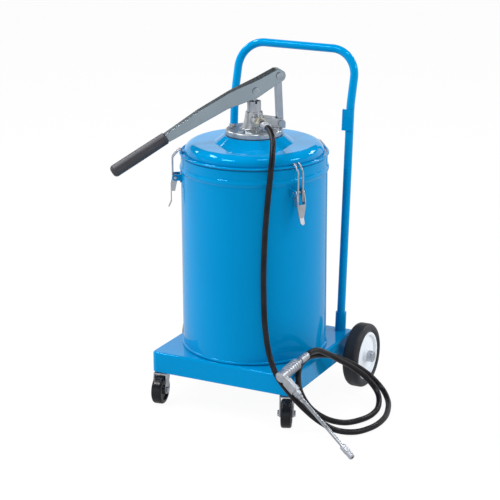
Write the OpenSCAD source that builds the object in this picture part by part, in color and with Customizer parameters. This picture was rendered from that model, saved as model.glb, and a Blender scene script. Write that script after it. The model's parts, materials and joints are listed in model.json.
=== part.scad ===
// Manual grease pump: a drum on a wheeled base with a push handle, a lever
// pump bolted on its clamped lid, and a hose with a swivel nozzle.
// Origin on the floor under the drum axis, +X right, +Y to the handle, +Z up.

/* [Base] */
// Width of the base pan
base_w = 356; // [350:1:400]
// Depth of the base pan
base_d = 344; // [340:1:380]
// Height of the skirt
base_h = 47; // [42:1:56]
// Sheet thickness of the pan
base_t = 3; // [2:0.5:4]
// Corner radius in plan
base_r = 14; // [10:1:20]
// Bend radius along the top edge
base_bend = 5; // [4:0.5:8]

/* [Rear wheels] */
// Outer diameter of the tyre
wheel_d = 150; // [130:1:160]
// Width of the tyre
wheel_w = 38; // [32:1:46]
// Shoulder radius of the tyre
tyre_round = 11; // [6:1:14]
// Diameter of the plastic hub
hub_d = 112; // [100:1:118]
// Depth of the dish in the hub face
hub_dish = 9; // [5:1:12]
// Diameter of the hub boss
hub_boss_d = 34; // [28:1:44]
// Diameter of the axle
axle_d = 15; // [12:1:18]
// Distance of the axle inside the rear edge
axle_inset = 38; // [32:1:46]
// Gap between skirt and wheel
wheel_gap = 15; // [12:1:20]
// Diameter of the axle cap
cap_d = 26; // [22:1:30]
// Length of the axle cap
cap_l = 13; // [10:1:16]
// Thickness of the axle bracket
bracket_t = 5; // [3:0.5:8]

/* [Casters] */
// Diameter of the caster wheel
caster_d = 65; // [55:1:70]
// Width of the caster wheel
caster_w = 24; // [20:1:28]
// Trail of the caster
caster_trail = 22; // [18:1:26]
// Caster axis behind the front edge and inside the side edge
caster_inset = 20.5; // [19:0.5:26]
// Heading of the left caster
heading_left = -81; // [-180:1:180]
// Heading of the right caster
heading_right = -68; // [-180:1:180]
// Sheet thickness of the fork
fork_t = 2.5; // [2:0.5:3]
// Diameter of the swivel shank
stem_d = 12; // [10:0.5:14]
// Diameter of the caster bolt
bolt_d = 8; // [6:0.5:10]

/* [Handle] */
// Tube diameter
tube_d = 19; // [16:0.5:21]
// Spacing of the two posts
post_span = 298; // [290:1:310]
// Distance of the post feet inside the rear edge
post_inset = 20; // [17:1:24]
// Backward lean of the posts
post_lean = 4.4; // [0:0.1:8]
// Height of the bend above the base
post_h = 533; // [450:1:560]
// Backward lean of the loop
loop_lean = 16.3; // [8:0.1:30]
// Height of the loop above the bend
loop_h = 120; // [100:1:160]
// Bend radius at the foot of the loop
loop_bend = 120; // [60:1:160]
// Corner radius of the loop
loop_corner = 62; // [40:1:80]
// Diameter of the post sockets
socket_d = 25.4; // [24:0.1:32]
// Height of the post sockets
socket_h = 45; // [30:1:60]
// Width of the hanger plate
hanger_w = 27; // [22:1:34]
// Height of the hanger plate
hanger_h = 49; // [36:1:60]
// Thickness of the hanger plate
hanger_t = 4; // [3:0.5:6]
// Height of the hanger's middle above the base
hanger_z = 500; // [430:1:505]

/* [Drum] */
// Outer diameter of the drum
drum_d = 330; // [320:1:334]
// Height of the drum to its rim
drum_h = 447; // [420:1:470]
// Sheet thickness of drum and lid
drum_t = 1.6; // [1.2:0.1:2.5]
// Height of the rolled hoop
hoop_h = 15; // [12:1:18]
// Swell of the hoop over the wall
hoop_out = 3; // [2:0.1:3.5]
// Height of the hoop's middle below the rim
hoop_drop = 29.5; // [24:0.5:32]

/* [Lid] */
// Height of the lid above its brim
lid_h = 26; // [26:1:32]
// Knuckle radius of the lid
lid_r = 22; // [16:1:22]
// Inset of the lid's side from the drum wall
lid_in = 8; // [7:0.5:10]
// Reach of the brim over the drum wall
brim_out = 3; // [2:0.5:3.5]
// Radius of the rolled bead on the brim
lid_bead = 2.4; // [2.2:0.1:2.6]
// Thickness of the gasket under the brim
gasket_t = 1.5; // [1:0.1:2]
// Height of the raised seat for the pump
seat_h = 15.8; // [10:0.1:20]
// Diameter of the flat top of the seat
seat_d = 136; // [132:1:144]
// Diameter of the foot of the seat
seat_foot_d = 178; // [160:1:200]
// Thickness of the rubber under the pump flange
seal_t = 1.2; // [0.8:0.1:2]

/* [Latches] */
// Height of the lever pivot below the drum rim
latch_drop = 51; // [50:1:54]
// Distance of the lever pivot from the drum wall
latch_out = 13; // [12:0.5:15]
// Diameter of the latch pin
latch_pin_d = 5; // [4:0.5:6]
// Wire diameter of the bail
wire_d = 4; // [3:0.25:4.5]
// Spacing of the bail legs
bail_span = 12.4; // [11:0.2:14]
// Sheet thickness of the latch
latch_t = 2.4; // [2:0.1:2.6]
// Length of the lever blade below the bail pivot
blade_l = 50; // [36:1:60]

/* [Pump] */
// Direction in which the lever points
pump_turn = 225; // [215:1:235]
// Diameter of the pump flange
flange_d = 128; // [120:1:131]
// Thickness of the pump flange
flange_t = 12; // [8:0.5:15]
// Height of the pump tower above the flange
tower_h = 39; // [36:1:44]
// Diameter of the tower's top
tower_d = 38; // [34:1:42]
// Diameter of the flange bolts
flange_bolt_d = 8; // [6:0.5:10]
// Bolt circle of the flange
flange_circle_d = 106; // [100:1:110]
// Diameter of the gland nut
gland_d = 31; // [28:0.5:33]
// Height of the gland nut
gland_h = 24; // [20:1:25]
// Diameter of the piston rod
rod_d = 12; // [10:0.5:14]
// Outer diameter of the pump tube
tube_od = 44; // [40:1:48]
// Wall of the pump tube
tube_wall = 3; // [2:0.5:4]
// Gap between the foot valve and the drum floor
foot_gap = 14; // [8:1:40]
// Length of the piston
piston_l = 26; // [16:1:40]
// Height of the outlet above the flange
outlet_h = 22; // [20:1:24]
// Diameter of the outlet boss
outlet_d = 28; // [24:1:32]
// Reach of the outlet boss
outlet_reach = 38; // [34:1:44]
// Length of the outlet adaptor
adaptor_l = 24; // [18:1:30]
// Width of the adaptor's hexagon over its corners
adaptor_d = 25; // [22:0.5:28]

/* [Pump lever] */
// Diameter of the lever's pins
pin_d = 10; // [8:0.5:11]
// Height of the rod pin above the flange's foot
rod_pin_h = 99; // [98:0.5:106]
// Distance of the fulcrum behind the rod
fulcrum_back = 55; // [50:0.5:60]
// Height of the fulcrum above the rod pin
fulcrum_up = 31; // [28:0.5:34]
// Distance of the link's lower pin behind the rod
link_back = 60; // [56:0.5:61]
// Height of the link's lower pin above the flange's foot
link_low = 22; // [21.5:0.5:26]
// Thickness of the link
link_t = 14; // [10:0.5:18]
// Width of the link
link_w = 14; // [12:0.5:16]
// Sheet thickness of the lever
lever_t = 2.5; // [2:0.1:3]
// Width of the lever at the fulcrum
lever_w = 30; // [28:0.5:34]
// Width of the lever at the grip
lever_tip_w = 16.4; // [15:0.2:20]
// Diameter of the grip
grip_d = 28; // [24:0.5:34]
// Length of the grip
grip_l = 142; // [110:1:160]
// Slope of the grip
grip_slope = 29.3; // [20:0.1:40]
// Diameter of the tang in the grip
tang_d = 12; // [11.5:0.5:14]

/* [Hose and nozzle] */
// Outer diameter of the hose
hose_d = 13; // [10:0.5:14]
// Diameter of the crimped ferrules
ferrule_d = 18; // [16:0.5:22]
// Length of the crimped ferrules
ferrule_l = 33; // [28:1:40]
// Diameter of the swivel barrel
barrel_d = 26; // [23:0.5:26]
// Length of the swivel barrel
barrel_l = 46; // [40:1:60]
// Diameter of the swivel's spigot
spigot_d = 12; // [10:0.5:14]
// Width of the elbow's hexagon over its corners
elbow_hex_d = 23; // [20:0.5:26]
// Length of the elbow's hexagonal leg
elbow_leg = 46; // [36:1:54]
// Diameter of the nozzle pipe
pipe_d = 8; // [6:0.5:10]
// Diameter of the nozzle coupler
coupler_d = 15; // [13:0.5:15]
// Length of the nozzle coupler
coupler_l = 36; // [28:1:40]
// Diameter of the coupler's mouth
mouth_d = 6.6; // [6:0.2:7]

/* [Fits] */
// Radial clearance of turning and pressed fits
fit = 0.05; // [0.02:0.01:0.08]
// Gap between pieces that pass each other
play = 0.4; // [0.3:0.1:0.6]

/* [Hidden] */
$fn = 64;
// Overlap of a cut past the face it leaves
cut = 1;
// Seam ring of a bent bar
seam_w = 0.3;
seam_h = 0.03;
paint = [0.02, 0.44, 0.72];
zinc = [0.74, 0.75, 0.76];
steel = [0.62, 0.63, 0.65];
brass = [0.78, 0.72, 0.5];
rubber = [0.1, 0.1, 0.11];
white = [0.92, 0.93, 0.94];
grey = [0.55, 0.57, 0.6];

// Heights of the base, built up from the caster wheel
crown_gap = 3;
crown_t = 3;
washer_t = 2;
crown_z = caster_d + crown_gap;
skirt_z = crown_z + crown_t + washer_t;
base_top = skirt_z + base_h;
plate_z = base_top - base_t;

// Rear axle, measured from the skirt outwards
axle_z = wheel_d / 2;
axle_y = base_d / 2 - axle_inset;
skirt_x = base_w / 2;
wheel_x = skirt_x + wheel_gap + wheel_w / 2;
boss_half = wheel_w / 2 - 1;
cap_x = wheel_x + boss_half + play;
cap_end = 3;
bracket_half = 22;
bracket_r = axle_d / 2 + 8;
bracket_arc = [200, 340];
notch_d = axle_d + 2;
ring_lip = 5;

// Caster details
caster_x = base_w / 2 - caster_inset;
caster_y = caster_inset - base_d / 2;
fork_half = caster_w / 2 + 1.5;
crown_r = fork_half + fork_t;
leg_r = bolt_d / 2 + 5;
stem_head = 3;
stem_head_d = stem_d + 6;
bolt_head = 4;
post_socket_d = stem_d + 8;
stem_top = 5;
caster_round = 5;
caster_rim = 9;
caster_web = 4;
caster_boss = 5;
caster_step = 2;
caster_side = 1;

// Handle, as a bent centre line
handle_x = post_span / 2;
post_y = base_d / 2 - post_inset;
foot_z = base_top + sin(post_lean) * tube_d / 2 + play;
bend_z = base_top + post_h;
bend_y = post_y + (bend_z - base_top) * tan(post_lean);
top_z = bend_z + loop_h;
top_y = bend_y + loop_h * tan(loop_lean);
foot_y = post_y + (foot_z - base_top) * tan(post_lean);
handle_path = [
  [-handle_x, foot_y, foot_z], [-handle_x, bend_y, bend_z],
  [-handle_x, top_y, top_z], [handle_x, top_y, top_z],
  [handle_x, bend_y, bend_z], [handle_x, foot_y, foot_z]
];
handle_bends = [loop_bend, loop_corner, loop_corner, loop_bend];
hanger_in = 2.5;

// Drum and lid sections
drum_r = drum_d / 2;
rim_z = base_top + drum_h;
hoop_z = rim_z - hoop_drop;
bead_out = 2;
bead_h = 8;
bead_half = 60;
lip_w = 8;
rim_edge = 2;
brim_z = rim_z + gasket_t;
brim_top = brim_z + drum_t;
brim_edge = 1;
lid_side_r = drum_r - lid_in;
lid_c = [lid_side_r - lid_r, brim_z + lid_h - lid_r];
bead_c = [drum_r + brim_out - lid_bead, brim_z + lid_bead];
lid_top = brim_z + lid_h;
seat_z = lid_top + seat_h;
tube_hole_r = tube_od / 2 + 1;

// Latch directions, and places in the plane through the drum axis
latch_angles = [-30, 57, 123, 210];
pivot_u = drum_r + latch_out;
pivot_z = rim_z - latch_drop;
bail_u = pivot_u + 5.5;
bail_z = pivot_z - 20;
ear_in = bail_span / 2 + wire_d / 2 + play;
ear_out = ear_in + latch_t;
cheek_in = ear_out + play;
cheek_out = cheek_in + latch_t;
cheek_r = latch_pin_d / 2 + 4.5;
cheek_low = 9;
cheek_top = 7;
bracket_low = 10;
bracket_h = 18;
bracket_edge = 3;
pin_head = 2;
pin_rim = 0.7;
bar_gap = 0.9;
bar_u = lid_side_r + bar_gap + wire_d / 2;
bar_z = brim_top + wire_d / 2 + fit;
knee_z = bar_z - 10;
crest_u = bar_u + 6.6;
crest_z = bar_z + 8.8;
ear_bend = ear_in - bail_span / 2 - 0.1;
knee_bend = 10;
crest_bend = 5;
bar_bend = 3;
blade_w = 2 * ear_out;
blade_tip_w = 10;

// Pump heights
flange_z = seat_z + seal_t;
deck_z = flange_z + flange_t;
tower_z = deck_z + tower_h;
gland_top = tower_z + gland_h;
outlet_z = deck_z + outlet_h;
rod_pin_z = flange_z + rod_pin_h;
fulcrum_z = rod_pin_z + fulcrum_up;
link_z = flange_z + link_low;
rod_bore_r = rod_d / 2 + 2;
thread_d = gland_d - 5;
thread_l = 12;
oil_d = 8;
tube_ir = tube_od / 2 - tube_wall;
spigot_l = 20;
foot_z0 = base_top + drum_t + foot_gap;
foot_h = 18;
piston_z = foot_z0 + foot_h + 22;
bolt_turns = [40, 140, 220, 320];
head_af = 1.75;
head_h = 0.65;
lug_r = link_w / 2 + 2.5;
lug_slot = link_t + 2 * play;
lug_w = lug_slot + 13;
eye_r = link_w / 2 + 1.5;
adaptor_y = outlet_reach + adaptor_l;
hose_start_y = adaptor_y + ferrule_l;
slot_half = 3.8;
slot_play = 0.9;

// Lever outlines, measured from the rod pin
lever_top = [[-50, 45.5], [-8, 26], [56, 1], [129, -36.5], [207.5, -84.5]];
lever_low = [[-47, 11], [-4, -15], [17, -22], [64, -37], [198.2, -101.2]];
lever_end = [203, -92.5];
lever_round = 14;
lever_nose = [235, 75];
lever_throat = [190, 75];
lever_waist = 60;
lever_waist_w = lever_tip_w + 2;
tang_in = 34;
tang_out = 60;

// Nozzle places and directions, as it lies
elbow_c = [172, -207, 134];
barrel_dir = unit([0.2, 0.95, 0.25]);
leg_dir = unit([0.8, -0.21, -0.56]);
pipe_bend_c = elbow_c + 158 * leg_dir;
tip_c = [367, -268, 0.35 * coupler_d];
tip_dir = unit(tip_c - pipe_bend_c);
pipe_bend_r = 70;
barrel_gap = 12;
barrel_ribs = 5;
rib_h = 1.6;
nut_l = 20;
nut_d = 17;
spigot_in = 24;
pipe_in = 12;

// Route of the hose between its two ferrules
hose_route = [
  [84, -85, 641], [98, -104, 627], [106, -122, 604], [110, -137, 573],
  [109, -143, 540], [103, -149, 450], [99, -151, 300], [105, -154, 210],
  [122, -167, 157], [150, -187, 123], [185, -201, 97], [220, -205, 70],
  [255, -195, 40], [288, -175, 17], [319, -147, 8], [341, -108, 7.5],
  [347, -55, 7.5], [336, 0, 8], [316, 46, 13], [288, 76, 26], [257, 79, 50],
  [233, 54, 78], [212, 12, 107], [193, -35, 128], [179, -80, 137],
  [177, -122, 134], [186, -156, 119], [201, -177, 94], [223, -179, 63],
  [250, -158, 33], [281, -121, 13], [304, -78, 8], [314, -36, 7.5],
  [310, 8, 12], [293, 41, 28], [265, 49, 53], [239, 29, 82], [218, -9, 112],
  [204, -48, 139], [196, -86, 157]
];
hose_sides = 12;
hose_steps = 2;

function unit(v) = v / norm(v);

// Points of an arc in a plane, from angle a0 to a1
function arc(c, r, a0, a1, n = 12) =
  [for (i = [0:n]) let (a = a0 + (a1 - a0) * i / n) c + r * [cos(a), sin(a)]];

function shift(pts, d) = [for (p = pts) p + d];

function reversed(pts) = [for (i = [len(pts) - 1:-1:0]) pts[i]];

function side_of(d) =
  abs(d[2]) < 0.9 ? unit(cross([0, 0, 1], d)) : unit(cross([1, 0, 0], d));

// Moves the children to p with their Z axis along d
module at_axis(p, d) {
  x = side_of(d);
  y = cross(d, x);
  multmatrix([
    [x[0], y[0], d[0], p[0]],
    [x[1], y[1], d[1], p[1]],
    [x[2], y[2], d[2], p[2]]
  ]) children();
}

module rod(a, b, r) {
  at_axis(a, unit(b - a)) cylinder(h = norm(b - a), r = r);
}

// Arc of a bent tube at corner p, from direction d0 to d1
module bend(p, d0, d1, bend_r, r) {
  angle = acos(d0 * d1);
  n = unit(cross(d0, d1));
  inward = cross(n, d0);
  c = p - d0 * bend_r * tan(angle / 2) + inward * bend_r;
  multmatrix([
    [-inward[0], d0[0], n[0], c[0]],
    [-inward[1], d0[1], n[1], c[1]],
    [-inward[2], d0[2], n[2], c[2]]
  ]) rotate_extrude(angle = angle) translate([bend_r, 0]) circle(r);
}

// Round bar along a list of corners, each with its own bend radius
module bent_bar(pts, bends, r) {
  n = len(pts);
  dirs = [for (i = [0:n - 2]) unit(pts[i + 1] - pts[i])];
  trims = [for (i = [0:n - 1]) i == 0 || i == n - 1 ? 0
    : bends[i - 1] * tan(acos(dirs[i - 1] * dirs[i]) / 2)];
  for (i = [0:n - 2])
    rod(pts[i] + dirs[i] * trims[i], pts[i + 1] - dirs[i] * trims[i + 1], r);
  for (i = [1:n - 2]) {
    bend(pts[i], dirs[i - 1], dirs[i], bends[i - 1], r);
    seam(pts[i] - dirs[i - 1] * trims[i], dirs[i - 1], r);
    seam(pts[i] + dirs[i] * trims[i], dirs[i], r);
  }
}

// Hair-thin ring where a straight length runs into a bend
module seam(p, d, r) {
  at_axis(p, d) cylinder(h = seam_w, r = r + seam_h, center = true);
}

// Sheet profile drawn in X and Z, extruded over the width w about Y = 0
module side_plate(w) {
  rotate([90, 0, 0]) linear_extrude(w, center = true) children();
}

// Cylinder along Y about the point (x, z)
module cross_pin(x, z, r, w) {
  translate([x, 0, z]) rotate([90, 0, 0]) cylinder(h = w, r = r, center = true);
}

module both_sides() {
  children();
  mirror([1, 0, 0]) children();
}

module hex_bar(d, h) {
  cylinder(h = h, d = d, $fn = 6);
}

// Pan corner with a rounded upper edge
module pan_corner() {
  rotate_extrude($fn = 32) union() {
    square([base_r, base_h - base_bend]);
    square([base_r - base_bend, base_h]);
    intersection() {
      translate([base_r - base_bend, base_h - base_bend]) circle(base_bend, $fn = 32);
      square([base_r, base_h]);
    }
  }
}

module base_plate() {
  in_r = base_r - base_t;
  color(paint) difference() {
    hull() for (x = [-1, 1], y = [-1, 1])
      translate([x * (base_w / 2 - base_r), y * (base_d / 2 - base_r), skirt_z]) pan_corner();
    translate([0, 0, skirt_z - cut]) linear_extrude(base_h - base_t + cut)
      offset(r = in_r) square([base_w - 2 * base_r, base_d - 2 * base_r], center = true);
    translate([0, axle_y, axle_z]) rotate([0, 90, 0])
      cylinder(h = base_w + 2 * cut, d = notch_d, center = true);
    translate([-base_w / 2 - cut, axle_y - notch_d / 2, axle_z - base_h])
      cube([base_w + 2 * cut, notch_d, base_h]);
  }
}

module axle_brackets() {
  color(paint) both_sides() difference() {
    translate([skirt_x - base_t, axle_y, 0]) rotate([90, 0, -90]) linear_extrude(bracket_t)
      polygon(concat(
        [[-bracket_half, plate_z], [-bracket_half, skirt_z + base_t]],
        arc([0, axle_z], bracket_r, bracket_arc[0], bracket_arc[1]),
        [[bracket_half, skirt_z + base_t], [bracket_half, plate_z]]
      ));
    translate([0, axle_y, axle_z]) rotate([0, 90, 0]) cylinder(h = base_w, d = axle_d + 2 * fit);
  }
}

module caster_sockets() {
  color(paint) both_sides() translate([caster_x, caster_y, skirt_z]) difference() {
    cylinder(h = plate_z - skirt_z, d = post_socket_d);
    translate([0, 0, -cut]) cylinder(h = base_h, d = stem_d - 1 + 2 * fit);
  }
}

// Line of a leaning post, as a round bar of radius r
module post_line(r) {
  rod([handle_x, post_y, base_top] - cut * post_up() * tube_d, [handle_x, bend_y, bend_z], r);
}

function post_up() = unit([0, bend_y - post_y, bend_z - base_top]);

module handle_sockets() {
  color(paint) both_sides() difference() {
    intersection() {
      rod([handle_x, post_y, base_top] - post_up() * tube_d,
        [handle_x, post_y, base_top] + post_up() * socket_h, socket_d / 2);
      translate([0, 0, base_top]) cube([base_w, base_d, base_h + socket_h]);
    }
    post_line(tube_d / 2 + fit);
  }
}

module handle_frame() {
  color(paint) bent_bar(handle_path, handle_bends, tube_d / 2);
}

module hanger_plate() {
  z = base_top + hanger_z;
  y = post_y + hanger_z * tan(post_lean) - tube_d / 2 - hanger_t + hanger_in;
  color(paint) difference() {
    translate([handle_x + tube_d / 2 - hanger_w + hanger_in, y, z])
      rotate([-post_lean, 0, 0]) translate([0, 0, -hanger_h / 2])
        cube([hanger_w, hanger_t, hanger_h]);
    post_line(tube_d / 2 + fit);
  }
}

module rear_axle() {
  half = cap_x + cap_l - cap_end;
  color(steel) translate([-half, axle_y, axle_z]) rotate([0, 90, 0]) cylinder(h = 2 * half, d = axle_d);
}

module axle_spacers() {
  inner = wheel_x - boss_half - play - skirt_x;
  color(zinc) both_sides() translate([skirt_x, axle_y, axle_z]) rotate([0, 90, 0]) difference() {
    cylinder(h = inner, d = axle_d + 8);
    translate([0, 0, -cut]) cylinder(h = inner + 2 * cut, d = axle_d + 2 * fit);
  }
}

module axle_caps() {
  color(zinc) both_sides() translate([cap_x, axle_y, axle_z]) rotate([0, 90, 0]) rotate_extrude()
    polygon(concat(
      [[axle_d / 2 + fit, 0], [cap_d / 2, 0]],
      arc([cap_d / 2 - cap_end, cap_l - cap_end], cap_end, 0, 90, 6),
      [[0, cap_l], [0, cap_l - cap_end], [axle_d / 2 + fit, cap_l - cap_end]]
    ));
}

// Places a wheel's own axis on the rear axle, its outer face to side s
module on_axle(s) {
  translate([s * wheel_x, axle_y, axle_z]) rotate([0, 90 * s, 0]) children();
}

module tyre() {
  r = wheel_d / 2 - tyre_round;
  h = wheel_w / 2 - tyre_round;
  color(rubber) rotate_extrude($fn = 96) polygon(concat(
    [[hub_d / 2, -wheel_w / 2 + ring_lip]], [[hub_d / 2 + ring_lip, -wheel_w / 2]],
    arc([r, -h], tyre_round, -90, 0), arc([r, h], tyre_round, 0, 90),
    [[hub_d / 2 + ring_lip, wheel_w / 2]], [[hub_d / 2, wheel_w / 2 - ring_lip]]
  ));
}

module tyre_left() {
  on_axle(-1) tyre();
}

module tyre_right() {
  on_axle(1) tyre();
}

module hub() {
  r = hub_d / 2 - fit;
  rim = wheel_w / 2 - ring_lip;
  face = rim - hub_dish + ring_lip;
  boss = hub_boss_d / 2;
  color(white) rotate_extrude($fn = 96) polygon([
    [axle_d / 2 + fit, -boss_half], [boss - 2, -boss_half], [boss, -face], [r - 9, -face],
    [r - 6, -rim - 2], [r - 1, -rim - 2], [r, -rim], [r, rim], [r - 1, rim + 2], [r - 6, rim + 2],
    [r - 9, face], [boss, face], [boss - 2, boss_half], [axle_d / 2 + fit, boss_half]
  ]);
}

module hub_left() {
  on_axle(-1) hub();
}

module hub_right() {
  on_axle(1) hub();
}

// Places the children on a caster's swivel axis
module on_caster(s, heading) {
  translate([s * caster_x, caster_y, 0]) rotate(heading) children();
}

module caster_stems() {
  color(zinc) both_sides() translate([caster_x, caster_y, 0]) union() {
    translate([0, 0, crown_z - stem_head - play]) cylinder(h = stem_head, d = stem_head_d);
    translate([0, 0, crown_z - play]) cylinder(h = crown_t + washer_t, d = stem_d);
    translate([0, 0, crown_z + crown_t + play]) cylinder(h = washer_t - play, d = post_socket_d);
    translate([0, 0, skirt_z - cut]) cylinder(h = base_h - base_t - stem_top, d = stem_d - 1);
  }
}

module caster_fork() {
  color(zinc) difference() {
    union() {
      translate([0, 0, crown_z]) linear_extrude(crown_t) union() {
        circle(crown_r);
        translate([0, -crown_r]) square([caster_trail, 2 * crown_r]);
      }
      for (s = [-1, 1]) translate([0, s * (fork_half + fork_t / 2), 0]) side_plate(fork_t)
        hull() {
          translate([caster_trail, caster_d / 2]) circle(leg_r, $fn = 32);
          translate([0, crown_z]) square([caster_trail, crown_t]);
        }
    }
    translate([0, 0, crown_z - cut]) cylinder(h = crown_t + 2 * cut, d = stem_d + 2 * fit);
    cross_pin(caster_trail, caster_d / 2, bolt_d / 2 + fit, 3 * caster_w);
  }
}

module caster_fork_left() {
  on_caster(-1, heading_left) caster_fork();
}

module caster_fork_right() {
  on_caster(1, heading_right) caster_fork();
}

module caster_wheel() {
  h = caster_w / 2;
  rim_r = caster_d / 2 - caster_rim;
  web = h - caster_web;
  boss_r = bolt_d / 2 + caster_boss;
  bore_r = bolt_d / 2 + fit;
  side = h + caster_side;
  tread_r = caster_d / 2 - caster_round;
  color(rubber) translate([caster_trail, 0, caster_d / 2]) rotate([90, 0, 0])
    rotate_extrude() polygon(concat(
      [[bore_r, -side], [boss_r, -side], [boss_r + caster_step, -web]],
      [[rim_r - caster_step, -web], [rim_r, -h]],
      arc([tread_r, caster_round - h], caster_round, -90, 0, 8),
      arc([tread_r, h - caster_round], caster_round, 0, 90, 8),
      [[rim_r, h], [rim_r - caster_step, web]],
      [[boss_r + caster_step, web], [boss_r, side], [bore_r, side]]
    ));
}

module caster_wheel_left() {
  on_caster(-1, heading_left) caster_wheel();
}

module caster_wheel_right() {
  on_caster(1, heading_right) caster_wheel();
}

module caster_bolt() {
  out = fork_half + fork_t;
  color(zinc) translate([caster_trail, 0, caster_d / 2]) rotate([90, 0, 0]) union() {
    cylinder(h = 2 * out + 2 * cut, d = bolt_d, center = true);
    translate([0, 0, out]) hex_bar(bolt_d * head_af, bolt_head);
    translate([0, 0, -out - bolt_head]) hex_bar(bolt_d * head_af, bolt_head);
  }
}

module caster_bolt_left() {
  on_caster(-1, heading_left) caster_bolt();
}

module caster_bolt_right() {
  on_caster(1, heading_right) caster_bolt();
}

// Drum section: chime bead, wall, rolled hoop and turned-in lip
module drum() {
  in_r = drum_r - drum_t;
  hoop_half = hoop_h / 2;
  hoop_r = (hoop_half * hoop_half + hoop_out * hoop_out) / (2 * hoop_out);
  hoop_a = asin(hoop_half / hoop_r);
  lip_r = drum_r - lip_w;
  color(paint) rotate_extrude($fn = 128) polygon(concat(
    [[0, base_top], [drum_r, base_top]],
    arc([drum_r - bead_out, base_top + bead_h / 2], bead_h / 2, -bead_half, bead_half, 8),
    [[drum_r, base_top + bead_h]],
    arc([drum_r + hoop_out - hoop_r, hoop_z], hoop_r, -hoop_a, hoop_a),
    [[drum_r, rim_z - rim_edge], [drum_r - rim_edge, rim_z], [lip_r, rim_z], [lip_r, rim_z - drum_t]],
    [[in_r, rim_z - drum_t], [in_r, base_top + drum_t], [0, base_top + drum_t]]
  ));
}

module drum_gasket() {
  r0 = drum_r - lip_w + 1;
  r1 = drum_r - rim_edge;
  color(rubber) translate([0, 0, rim_z]) difference() {
    cylinder(h = gasket_t, r = r1, $fn = 128);
    translate([0, 0, -cut]) cylinder(h = gasket_t + 2 * cut, r = r0, $fn = 128);
  }
}

// Pressed lid: raised seat, rounded knuckle, upright side and brim with a rolled bead
module lid() {
  in_r = lid_side_r - drum_t;
  bead_a = 180 + asin((lid_bead - drum_t) / lid_bead);
  color(paint) rotate_extrude($fn = 128) polygon(concat(
    [[tube_hole_r, seat_z], [seat_d / 2, seat_z], [seat_foot_d / 2, lid_top]],
    arc(lid_c, lid_r, 90, 0, 16),
    [[lid_side_r, brim_top + brim_edge], [lid_side_r + brim_edge, brim_top]],
    arc(bead_c, lid_bead, bead_a, -90, 16),
    [[in_r + brim_edge, brim_z], [in_r, brim_z + brim_edge]],
    arc(lid_c, lid_r - drum_t, 0, 90, 16),
    [[seat_foot_d / 2, lid_top - drum_t], [seat_d / 2, seat_z - drum_t], [tube_hole_r, seat_z - drum_t]]
  ));
}

module latch_brackets() {
  plate_w = 2 * (cheek_out + bracket_edge);
  color(paint) for (a = latch_angles) rotate(a) difference() {
    union() {
      translate([0, -plate_w / 2, pivot_z - bracket_low]) cube([drum_r + latch_t, plate_w, bracket_h]);
      for (s = [-1, 1]) translate([0, s * (cheek_in + latch_t / 2), 0]) side_plate(latch_t)
        polygon(concat(
          [[0, pivot_z - cheek_low]], arc([pivot_u, pivot_z], cheek_r, -90, 90), [[0, pivot_z + cheek_top]]
        ));
    }
    translate([0, 0, base_top]) cylinder(h = drum_h, r = drum_r + fit, $fn = 128);
    cross_pin(pivot_u, pivot_z, latch_pin_d / 2 + fit, base_w);
  }
}

module latch_pins() {
  color(zinc) for (a = latch_angles) rotate(a) union() {
    cross_pin(pivot_u, pivot_z, latch_pin_d / 2, 2 * cheek_out + pin_head);
    for (s = [-1, 1]) translate([0, s * (cheek_out + pin_head / 2), 0])
      cross_pin(pivot_u, pivot_z, latch_pin_d / 2 + pin_rim, pin_head - 2 * fit);
  }
}

// Pressed lever: two ears round the pin and a tapered blade, flared at its tip
module latch_lever() {
  ear_r = latch_pin_d / 2 + 3.5;
  eye = wire_d / 2 + 3;
  back = bail_u - eye;
  front = bail_u + eye;
  web_z = bail_z - eye - 1;
  tip_z = bail_z - blade_l;
  flare = 14;
  kick = 6;
  color(zinc) difference() {
    union() {
      for (s = [-1, 1]) translate([0, s * (ear_in + latch_t / 2), 0]) side_plate(latch_t)
        hull() {
          translate([pivot_u, pivot_z]) circle(ear_r, $fn = 32);
          translate([bail_u, bail_z]) circle(eye, $fn = 32);
          translate([back, web_z - eye]) square([front - back, eye]);
        }
      intersection() {
        side_plate(blade_w) polygon([
          [front - latch_t, web_z], [front, web_z], [front, tip_z + flare], [front + kick, tip_z],
          [front + kick - latch_t, tip_z], [front - latch_t, tip_z + flare]
        ]);
        rotate([90, 0, 90]) linear_extrude(base_w) polygon([
          [-blade_w / 2, web_z], [blade_w / 2, web_z], [blade_w / 2, web_z - eye],
          [blade_tip_w / 2 + 1, tip_z + flare], [blade_tip_w / 2, tip_z + 3], [blade_tip_w / 2 - 3, tip_z],
          [3 - blade_tip_w / 2, tip_z], [-blade_tip_w / 2, tip_z + 3], [-blade_tip_w / 2 - 1, tip_z + flare],
          [-blade_w / 2, web_z - eye]
        ]);
      }
    }
    cross_pin(pivot_u, pivot_z, latch_pin_d / 2 + fit, blade_w + 2 * cut);
    cross_pin(bail_u, bail_z, wire_d / 2 + fit, blade_w + 2 * cut);
  }
}

// Wire bail: ends turned out into the lever's ears, crest over the bead, bar behind it
module latch_bail() {
  v = bail_span / 2;
  leg = [
    [bail_u, ear_out, bail_z], [bail_u, v, bail_z], [bail_u, v, knee_z],
    [crest_u, v, crest_z], [bar_u, v, bar_z]
  ];
  other = [for (p = reversed(leg)) [p[0], -p[1], p[2]]];
  bends = [ear_bend, knee_bend, crest_bend, bar_bend];
  color(zinc) bent_bar(concat(leg, other), concat(bends, reversed(bends)), wire_d / 2, $fn = 32);
}

module latch_lever_fr() {
  rotate(latch_angles[0]) latch_lever();
}

module latch_lever_br() {
  rotate(latch_angles[1]) latch_lever();
}

module latch_lever_bl() {
  rotate(latch_angles[2]) latch_lever();
}

module latch_lever_fl() {
  rotate(latch_angles[3]) latch_lever();
}

module latch_bail_fr() {
  rotate(latch_angles[0]) latch_bail();
}

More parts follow.
